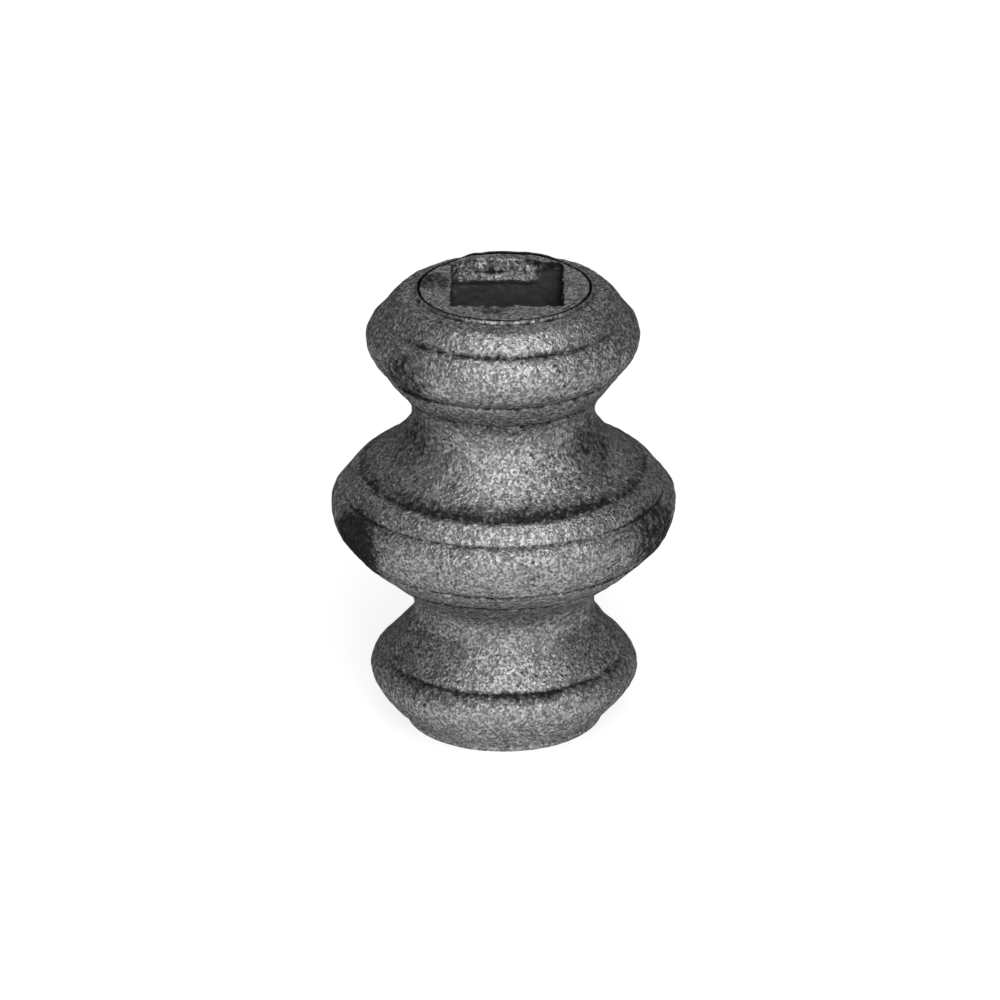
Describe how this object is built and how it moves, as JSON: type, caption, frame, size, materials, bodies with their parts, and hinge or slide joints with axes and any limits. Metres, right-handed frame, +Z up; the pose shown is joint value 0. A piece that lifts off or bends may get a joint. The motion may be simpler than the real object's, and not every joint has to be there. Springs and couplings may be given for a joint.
{
  "type": "baluster collar",
  "caption": "Cast iron railing ornament: a round moulded collar with waisted necks and a square through hole that slides over an upright square bar.",
  "frame": {"origin": "on the axis of the mouldings, in the flat underside", "axes": "+Z up along the axis of the mouldings, towards the head face; the faces of the square hole lie square to X and Y"},
  "size_m": [0.0448, 0.0448, 0.06],
  "materials": {
    "cast_iron": "bare grey iron as cast in sand, dull and grainy"
  },
  "bodies": {
    "root": {"collar": "cast_iron"}
  },
  "joints": []
}
